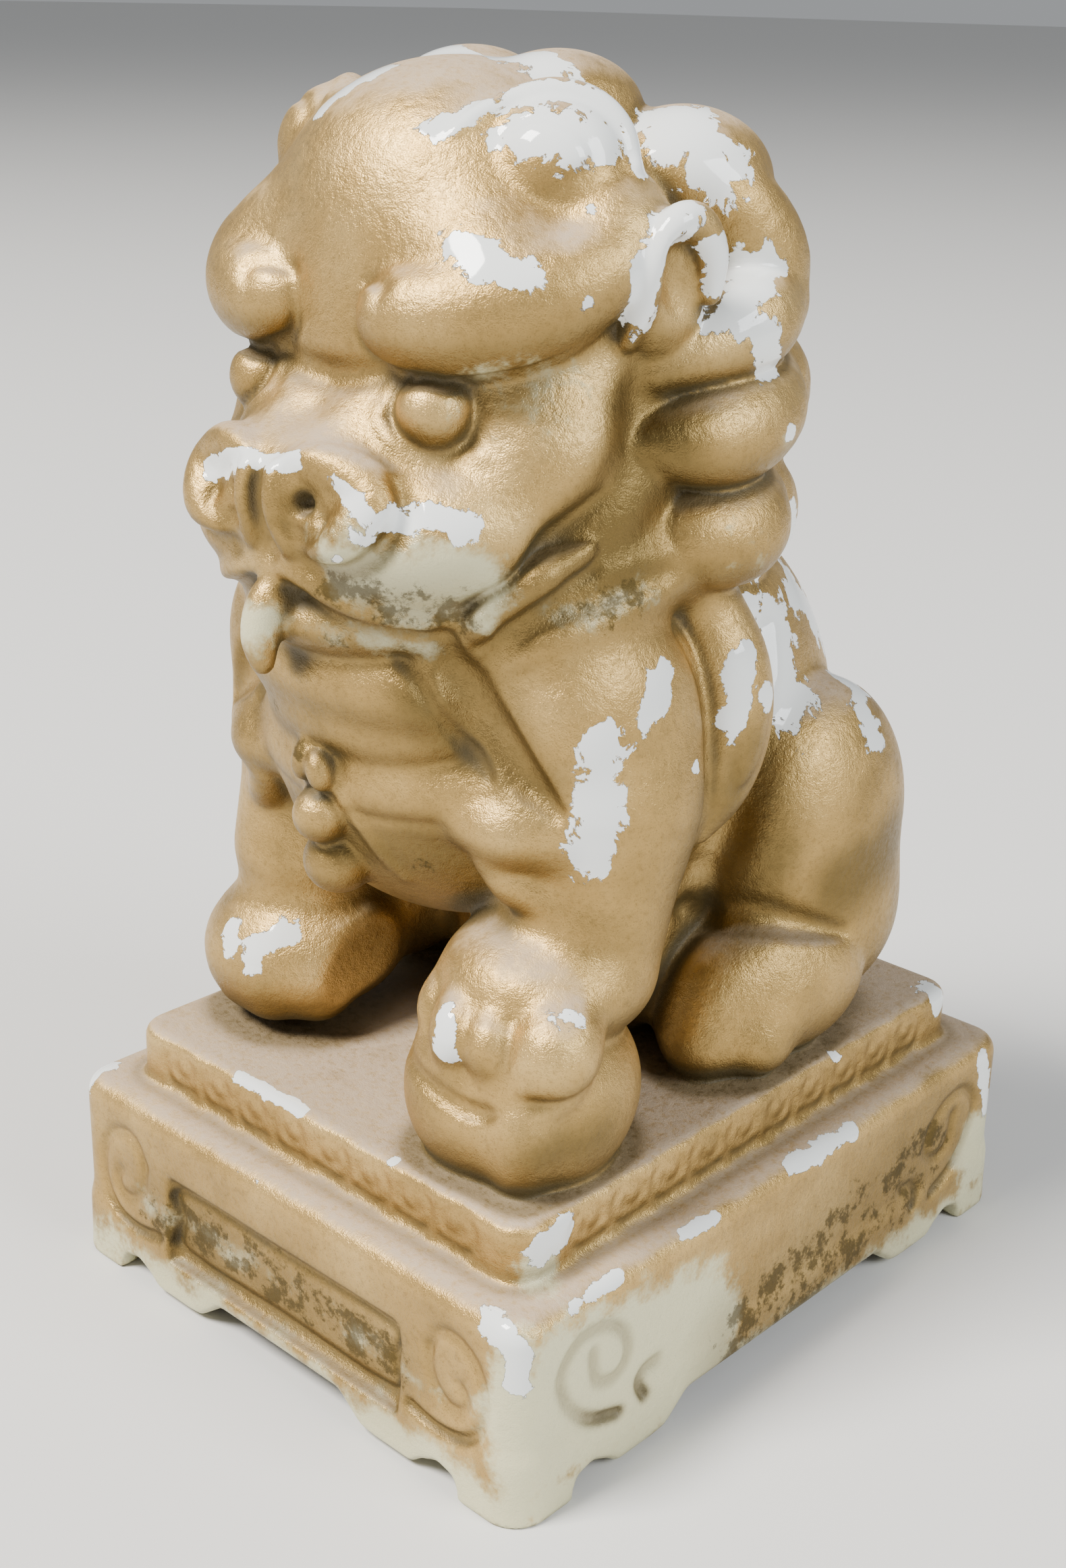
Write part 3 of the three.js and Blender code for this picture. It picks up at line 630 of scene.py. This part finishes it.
# ---- from clay to pieces ----
def build_piece(name, points, normals, quads, attributes, material):
    """A closed shell: the surface, the same surface SHELL further in, and a rim between them."""
    used, faces = np.unique(quads, return_inverse=True)
    faces = faces.reshape(-1, 4)
    outer = points[used]
    inner = outer - SHELL * normals[used]
    count = len(used)
    edges = np.vstack([faces[:, [i, (i + 1) % 4]] for i in range(4)])
    keys = np.sort(edges, axis=1)
    _, index, times = np.unique(keys[:, 0] * count + keys[:, 1], return_index=True, return_counts=True)
    border = edges[index[times == 1]]
    rim = np.stack([border[:, 1], border[:, 0], border[:, 0] + count, border[:, 1] + count], axis=1)
    faces = np.vstack([faces, faces[:, ::-1] + count, rim])
    mesh = bpy.data.meshes.new(name)
    spots = np.vstack([outer, inner])
    spots[:, 1] += MIDDLE_Y
    mesh.vertices.add(len(spots))
    mesh.vertices.foreach_set("co", (spots * MM).astype(np.float32).ravel())
    mesh.loops.add(faces.size)
    mesh.loops.foreach_set("vertex_index", faces.astype(np.int32).ravel())
    mesh.polygons.add(len(faces))
    mesh.polygons.foreach_set("loop_start", np.arange(0, faces.size, 4, dtype=np.int32))
    mesh.update(calc_edges=True)
    mesh.validate()
    for label, values in attributes.items():
        layer = mesh.attributes.new(label, "FLOAT", "POINT")
        layer.data.foreach_set("value", np.tile(values[used], 2).astype(np.float32))
    mesh.shade_smooth()
    mesh.materials.append(material)
    both = np.vstack([normals[used], -normals[used]])
    mesh.normals_split_custom_set_from_vertices(both.astype(np.float32))
    piece = bpy.data.objects.new(name, mesh)
    bpy.context.scene.collection.objects.link(piece)
    return piece


def build_statue():
    clay = sculpt()
    points, quads = clay.surface()
    slope = clay.slope(points)
    normals = slope / np.maximum(np.linalg.norm(slope, axis=1), 1e-6)[:, None]
    middle = points[quads].mean(axis=1)
    cube = np.clip(np.round((middle - clay.low) / clay.cell).astype(int), 0,
                   np.array(clay.owner.shape) - 1)
    owner = clay.owner[tuple(cube.T)]
    # Of these masks, the creases and the zones in the valleys and under the forms carry painted shade.
    attributes = {"crease": creases(clay, points, normals), "chip": patches(points, CHIPS),
                  "worn": zone(points, WORN), "fleck": zone(points, FLECKED),
                  "painted_shade": zone(points, PAINTED_SHADE_ZONES)}
    glaze = lustre_material()
    pieces = []
    for number, name in enumerate(clay.names):
        mine = quads[owner == number]
        pieces.append(build_piece(f"{name}_glazed", points, normals, mine, attributes, glaze))
        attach(pieces[-1], "root")
        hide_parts(name)
    return pieces


# ---- what the surface has been through, and where shade is painted on it ----
def creases(clay, points, normals):
    """0 in the open to 1 deep in a fold: how much nearer the clay is than the way walked off it."""
    shade = np.zeros(len(points))
    for walk, weight in ((1.5, 0.3), (4, 0.35), (10, 0.35)):
        open_way = clay.sample(points + walk * normals)
        shade += weight * np.clip(1 - open_way / walk, 0, 1)
    return shade


def gaps(points, spots):
    """For each spot, a radius and then the points of a stroke: that radius, and how far points are."""
    for radius, *stroke in spots:
        stroke = [np.array(spot, float) for spot in stroke]
        best = np.full(len(points), FAR)
        for a, b in zip(stroke, stroke[1:] or stroke):
            along = b - a
            t = np.clip((points - a) @ along / max(along @ along, 1e-9), 0, 1)
            best = np.minimum(best, np.linalg.norm(points - a - t[:, None] * along, axis=1))
        yield radius, best


def patches(points, spots):
    """-1 in the middle of a spot, 0 at its edge, and up from there at the same rate."""
    nearest = np.full(len(points), FAR)
    for radius, gap in gaps(points, spots):
        nearest = np.minimum(nearest, gap / radius - 1)
    return nearest


def zone(points, spots, soft=8.0):
    """1 well inside the spots, 0.5 at their edge and 0 well outside."""
    inside = np.zeros(len(points))
    for radius, gap in gaps(points, spots):
        inside = np.maximum(inside, np.clip(0.5 - (gap - radius) / (2 * soft), 0, 1))
    return inside


# Where the gold has flaked off down to the porcelain: a radius, then the points of a stroke.
CHIPS = (
    (4, (-17, -62, 294), (-9, -54, 299)),
    (4.5, (-18, -30, 304), (9, -33, 303)),
    (5.5, (14, -32, 303), (30, -36, 301), (40, -34, 298)),
    (3.5, (19, -65, 291), (23, -58, 295), (34, -45, 298), (39, -40, 296)),
    (6, (33, -56, 290), (39, -52, 291), (44, -45, 290)),
    (8, (47, -34, 290), (39, -14, 291), (49, -13, 283)),
    (8, (-47, -34, 290), (-39, -14, 291)),
    (3.9, (31, -74, 271.5), (38, -71, 267.5), (46, -66, 263.5)),
    (2.2, (47, -48, 276)),
    (2, (54, -58, 259)),
    (4, (60, -36, 277), (60, -42, 271), (59, -45, 265), (56, -44, 256)),
    (3.5, (63, -30, 268), (60, -21, 258)),
    (5, (56, -11, 262), (56, -5, 263), (61, -21, 255)),
    (3.5, (65, -13, 251), (63, -9, 243)),
    (2, (67, -6, 229)),
    (2.5, (-19, -92, 219), (-12, -95, 223), (0, -96, 226), (10, -95, 227)),
    (2.8, (22, -93, 223), (27, -91, 219), (27, -92, 214)),
    (3.2, (31, -88, 217), (35, -82, 218), (42, -77, 216)),
    (1.8, (24, -96, 208)),
    (4, (62, -38, 181), (64, -44, 174)),
    (5, (62, -55, 170), (62, -57, 156), (60, -57, 143)),
    (1.8, (67, -30, 159)),
    (4.2, (65, -14, 179), (66, -17, 167)),
    (3.5, (66, -7, 170)),
    (8.5, (47, 18, 200), (44, 27, 178), (49, 25, 157)),
    (7, (35, 46, 177), (34, 60, 166)),
    (4.5, (48, 52, 155), (57, 46, 150), (61, 46, 145)),
    (2.8, (-49, -69, 95), (-47, -72, 90)),
    (3.4, (-33, -64, 97), (-38, -70, 93), (-39, -74, 87)),
    (2.9, (41, -82, 110), (42, -83, 100)),
    (3, (64, -72, 114), (69, -66, 114)),
    (1.8, (69, -46, 109)),
    (1.6, (68, 9, 95), (69, 6, 92)),
    (1.9, (-28, -84, 66), (-5, -84, 66)),
    (1.6, (27, -84, 66)),
    (4, (69, -72, 62), (69, -79, 60)),
    (2.6, (69, 31, 65)),
    (3.6, (65, 78, 66), (69, 78, 63)),
    (3, (-77, -94, 49), (-76, -89, 52)),
    (1.4, (-17, -97, 51), (-8, -97, 51)),
    (1.3, (47, -97, 51)),
    (3, (69, -96, 50), (77, -95, 48), (78, -95, 38)),
    (1.9, (79, -79, 51), (79, -64, 51)),
    (1.9, (79, -41, 51), (79, -30, 51)),
    (2.8, (79, 1, 51), (79, 24, 51)),
    (2.5, (80, 85, 48), (80, 91, 30)),
)

# Where the gold is rubbed thin and the celadon glaze under it shows.
WORN = (
    (9, (24, -92, 206), (40, -76, 203)),
    (4, (38, -70, 241), (50, -58, 243)),
    (1.5, (10, -88, 189), (30, -78, 187)),
    (5, (-2, -97, 190)),
    (0.5, (52, -59, 196), (57, -42, 199)),
    (3, (62, -10, 229)),
    (3, (62, -16, 206)),
    (20, (80, -80, 28), (80, -40, 20)),
    (12, (80, 88, 20)),
    (7, (79, -96, 5), (79, -96, 45)),
    (6, (-75, -97, 4), (75, -97, 4)),
    (1, (-50, -97, 24), (56, -97, 24)),
    (6, (80, -90, 4), (80, 90, 4)),
    (5, (68, -80, 56)),
    (8, (-76, -40, 25), (-80, 60, 30)),
    (9, (0, 97, 20)),
)

# Where shade falls in the valleys and under the forms, painted in as darker bronze: painted shade.
PAINTED_SHADE_ZONES = (
    (11, (57, -46, 208), (58, -40, 222), (58, -38, 236)),
    (12, (55, 6, 112), (58, 6, 126), (56, 6, 142), (49, 16, 162)),
    (9, (68, 30, 112), (66, 50, 118)),
    (8, (-12, -74, 135), (26, -66, 138)),
    (5, (65, -12, 160), (64, -15, 146)),
    (5, (66, -24, 150), (66, -30, 118)),
    (5, (34, -72, 184), (40, -68, 170), (48, -62, 158)),
    (5, (40, -68, 195), (46, -62, 203), (52, -55, 211)),
    (7, (42, -4, 80), (44, 8, 92)),
    (5, (-40, -66, 80), (-52, -64, 78)),
    (6, (30, -80, 176), (34, -72, 166)),
    (6, (66, -76, 80), (70, -60, 80)),
)

# Where what is left of the gold has turned into dark flecks.
FLECKED = (
    (7, (50, 0, 72), (60, 10, 72)),
    (5, (36, -70, 176), (46, -64, 160)),
    (11, (18, -93, 199), (38, -78, 197)),
    (7, (14, -88, 188), (32, -76, 186)),
    (9, (52, -59, 196), (57, -42, 199)),
    (13, (-45, -97, 24), (40, -97, 24)),
    (16, (80, -20, 12), (80, 60, 28)),
    (9, (-14, -74, 134), (26, -66, 136)),
    (6, (-20, -82, 165), (-2, -82, 158)),
    (4, (40, -70, 243), (46, -62, 243)),
    (7, (50, 2, 75), (40, 8, 84)),
    (12, (0, 97, 24)),
    (14, (-80, -30, 24), (-80, 50, 20)),
)


# ---- material ----
class Recipe:
    """Short names for the shader nodes of one material."""

    def __init__(self, name):
        self.material = bpy.data.materials.new(name)
        self.material.use_nodes = True
        self.nodes = self.material.node_tree.nodes
        self.links = self.material.node_tree.links
        self.shader = self.nodes["Principled BSDF"]
        self.place = self.nodes.new("ShaderNodeTexCoord").outputs["Object"]

    def put(self, socket, value):
        if isinstance(value, bpy.types.NodeSocket):
            self.links.new(value, socket)
        elif isinstance(value, tuple):
            socket.default_value = (*value, 1)
        else:
            socket.default_value = value

    def attribute(self, name):
        node = self.nodes.new("ShaderNodeAttribute")
        node.attribute_name = name
        return node.outputs["Fac"]

    def noise(self, size, detail=3.0, rough=0.5, twist=0.0):
        """Noise whose features are about size millimetres across."""
        node = self.nodes.new("ShaderNodeTexNoise")
        self.links.new(self.place, node.inputs["Vector"])
        node.inputs["Scale"].default_value = 1 / (size * MM)
        node.inputs["Detail"].default_value = detail
        node.inputs["Roughness"].default_value = rough
        node.inputs["Distortion"].default_value = twist
        return node.outputs["Fac"]

    def math(self, kind, a, b):
        node = self.nodes.new("ShaderNodeMath")
        node.operation = kind
        for socket, value in zip(node.inputs, (a, b)):
            self.put(socket, value)
        return node.outputs[0]

    def add(self, a, b):
        return self.math("ADD", a, b)

    def times(self, a, b):
        return self.math("MULTIPLY", a, b)

    def step(self, value, low, high, out_low=0.0, out_high=1.0):
        node = self.nodes.new("ShaderNodeMapRange")
        node.interpolation_type = "SMOOTHSTEP"
        for label, number in (("Value", value), ("From Min", low), ("From Max", high),
                              ("To Min", out_low), ("To Max", out_high)):
            self.put(node.inputs[label], number)
        return node.outputs[0]

    def mix(self, share, a, b):
        node = self.nodes.new("ShaderNodeMix")
        node.data_type = "RGBA"
        self.put(node.inputs[0], share)
        self.put(node.inputs[6], a)
        self.put(node.inputs[7], b)
        return node.outputs[2]

    def blend(self, share, a, b):
        node = self.nodes.new("ShaderNodeMix")
        self.put(node.inputs[0], share)
        self.put(node.inputs[2], a)
        self.put(node.inputs[3], b)
        return node.outputs[0]

    def upward(self):
        split = self.nodes.new("ShaderNodeSeparateXYZ")
        self.links.new(self.nodes.new("ShaderNodeNewGeometry").outputs["Normal"], split.inputs[0])
        return split.outputs["Z"]

    def bump(self, height, depth):
        node = self.nodes.new("ShaderNodeBump")
        node.inputs["Distance"].default_value = depth * MM
        self.links.new(height, node.inputs["Height"])
        self.links.new(node.outputs[0], self.shader.inputs["Normal"])


# The bronze below is the gold's own dull tone and also the colour of painted shade; the darkest colour is
# real dirt in specks and flecks and also painted shade deep in the creases.
BRONZE = (0.15, 0.1, 0.03)
GOLD = (0.56, 0.36, 0.12)
PALE_GOLD = (0.83, 0.575, 0.23)
DUST = (0.50, 0.385, 0.27)
GRIME_AND_SHADE = (0.058, 0.042, 0.012)
CELADON = (0.70, 0.69, 0.44)
PORCELAIN = (0.84, 0.86, 0.84)


def lustre_material():
    r = Recipe("gold_lustre")
    crease, chip = r.attribute("crease"), r.attribute("chip")
    worn, fleck, painted_shade = r.attribute("worn"), r.attribute("fleck"), r.attribute("painted_shade")
    broad, middle, fine, speck = r.noise(45, 2), r.noise(9, 4), r.noise(1.6, 5, 0.6), r.noise(0.35, 2)
    up = r.upward()

    # The gold, bright and dull in patches.
    tone = r.add(r.times(broad, 0.7), r.times(middle, 0.3))
    colour = r.mix(r.step(tone, 0.3, 0.5, 0.55, 1), BRONZE, GOLD)
    colour = r.mix(r.step(tone, 0.45, 0.7, 0, 0.7), colour, PALE_GOLD)
    colour = r.mix(r.step(fine, 0.5, 0.75, 0, 0.3), colour, BRONZE)
    colour = r.mix(r.step(speck, 0.58, 0.68, 0, 0.3), colour, GRIME_AND_SHADE)

    # Dust lies on what faces up, and what faces down is painted darker bronze as painted shade.
    dust = r.step(r.add(up, r.times(middle, 0.5)), 0.85, 1.25)
    dust = r.times(dust, r.step(fine, 0.3, 0.55, 0.6, 0.92))
    colour = r.mix(dust, colour, DUST)
    # Painted shade: faces turned down are mixed towards dark bronze.
    under = r.step(up, 0.35, -0.6, 0, 0.8)
    colour = r.mix(under, colour, BRONZE)

    # Painted shade in the valleys and under the forms, then where it is rubbed through to the celadon, or
    # broken up into dark flecks.
    painted_shade_mix = r.step(r.add(painted_shade, r.times(middle, 0.6)), 0.35, 1.2, 0, 0.9)
    colour = r.mix(painted_shade_mix, colour, BRONZE)
    bare = r.step(r.add(worn, r.add(r.times(middle, 1.1), r.times(fine, 0.5))), 1.1, 1.5, 0, 0.85)
    colour = r.mix(bare, colour, CELADON)
    colour = r.mix(r.times(fleck, 0.45), colour, BRONZE)
    flakes = r.add(r.times(r.noise(7, 3), 0.5), r.times(r.noise(2.2, 9, 0.8), 0.6))
    fleck_here = r.step(r.add(r.times(fleck, 0.36), flakes), 0.87, 0.96, 0, 0.8)
    colour = r.mix(fleck_here, colour, GRIME_AND_SHADE)

    # Painted shade in the creases: darker bronze, and near black deepest in them, which is partly grime and
    # partly painted shade.
    colour = r.mix(r.step(crease, 0.12, 0.5, 0, 0.7), colour, BRONZE)
    clean = r.math("SUBTRACT", 1.0, r.times(dust, 0.8))
    grime_and_shade = r.times(r.step(r.add(crease, r.times(middle, 0.35)), 0.48, 0.85, 0, 0.9), clean)
    colour = r.mix(grime_and_shade, colour, GRIME_AND_SHADE)

    # The chips, with ragged edges, a little below the gold.
    ragged = r.times(r.add(r.noise(6, 6, 0.6, 0.4), -0.5), 3.2)
    chipped = r.step(r.add(chip, ragged), 0.04, -0.04)
    colour = r.mix(chipped, colour, PORCELAIN)
    r.put(r.shader.inputs["Base Color"], colour)

    # Gold shines, and dust, celadon and the near-black grime and painted shade of the creases don't.
    metal = r.math("SUBTRACT", 1.0, r.math("MAXIMUM", dust, r.math("MAXIMUM", bare, grime_and_shade)))
    metal = r.times(r.times(metal, 0.85), r.math("SUBTRACT", 1.0, chipped))
    r.put(r.shader.inputs["Metallic"], metal)
    rough = r.blend(dust, r.step(fine, 0.3, 0.7, 0.33, 0.46), 0.75)
    rough = r.blend(bare, rough, 0.3)
    rough = r.blend(r.math("MAXIMUM", grime_and_shade, fleck_here), rough, 0.6)
    rough = r.blend(chipped, rough, 0.07)
    r.put(r.shader.inputs["Roughness"], rough)
    skin = r.add(r.times(fine, 0.45), r.times(r.noise(4, 4, 0.6), 0.7))
    skin = r.times(r.add(skin, r.times(speck, 0.25)), r.math("SUBTRACT", 1.0, chipped))
    r.bump(r.add(skin, r.times(chipped, -0.3)), 0.5)
    return r.material


# ---- stage ----
FLOOR_REACH = 30.0                   # metres
FLOOR_COLOUR = (0.72, 0.71, 0.69, 1)
SKY_COLOUR = (0.94, 0.97, 1.0, 1)
SKY_STRENGTH = 0.36
LIT_SPOT = (0, 0, 0.16)
LIGHTS = (                           # name, place, size, watts and colour
    ("key", (-0.9, -2.25, 3.45), 1.3, 375, (1.0, 0.97, 0.92)),
    ("side", (3.3, 0.6, 2.4), 1.8, 135, (0.92, 0.96, 1.0)),
)


def aim(thing, spot, target):
    thing.location = spot
    thing.rotation_euler = (Vector(target) - Vector(spot)).to_track_quat("-Z", "Y").to_euler()


def add_area(name, spot, size, power, colour):
    light = bpy.data.objects.new(name, bpy.data.lights.new(name, "AREA"))
    light.data.size = size
    light.data.energy = power
    light.data.color = colour
    aim(light, spot, LIT_SPOT)
    bpy.context.scene.collection.objects.link(light)


def build_stage():
    floor_mesh = bpy.data.meshes.new("floor")
    reach = FLOOR_REACH
    floor_mesh.from_pydata([(-reach, -reach, 0), (reach, -reach, 0), (reach, reach, 0),
                            (-reach, reach, 0)], [], [(0, 1, 2, 3)])
    floor = bpy.data.objects.new("floor", floor_mesh)
    bpy.context.scene.collection.objects.link(floor)
    paint = bpy.data.materials.new("floor")
    paint.use_nodes = True
    shader = paint.node_tree.nodes["Principled BSDF"]
    shader.inputs["Base Color"].default_value = FLOOR_COLOUR
    shader.inputs["Roughness"].default_value = 0.8
    floor_mesh.materials.append(paint)
    world = bpy.data.worlds.new("studio")
    bpy.context.scene.world = world
    world.use_nodes = True
    background = world.node_tree.nodes["Background"]
    background.inputs["Color"].default_value = SKY_COLOUR
    background.inputs["Strength"].default_value = SKY_STRENGTH
    for light in LIGHTS:
        add_area(*light)


CAMERA_AT = (319.9, -356.3, 315.2)   # in the sculpt's millimetres
CAMERA_TURN = 42.81                  # degrees round the statue, from its front towards its left
CAMERA_DROP = 21.34                  # degrees that it looks down
CAMERA_ROLL = 1.38
CAMERA_LENS = 46.5                   # millimetres, on a 36 mm sensor


def build_camera():
    camera = bpy.data.objects.new("camera", bpy.data.cameras.new("camera"))
    camera.data.lens = CAMERA_LENS
    camera.data.sensor_width = 36.0
    camera.data.clip_start = 0.01
    turn, drop, roll = (math.radians(a) for a in (CAMERA_TURN, CAMERA_DROP, CAMERA_ROLL))
    camera.matrix_world = (
        Matrix.Translation((CAMERA_AT[0] * MM, (CAMERA_AT[1] + MIDDLE_Y) * MM, CAMERA_AT[2] * MM))
        @ Matrix.Rotation(turn, 4, "Z") @ Matrix.Rotation(math.pi / 2 - drop, 4, "X")
        @ Matrix.Rotation(roll, 4, "Z"))
    bpy.context.scene.collection.objects.link(camera)
    bpy.context.scene.camera = camera


build_camera()
build_stage()
build_statue()
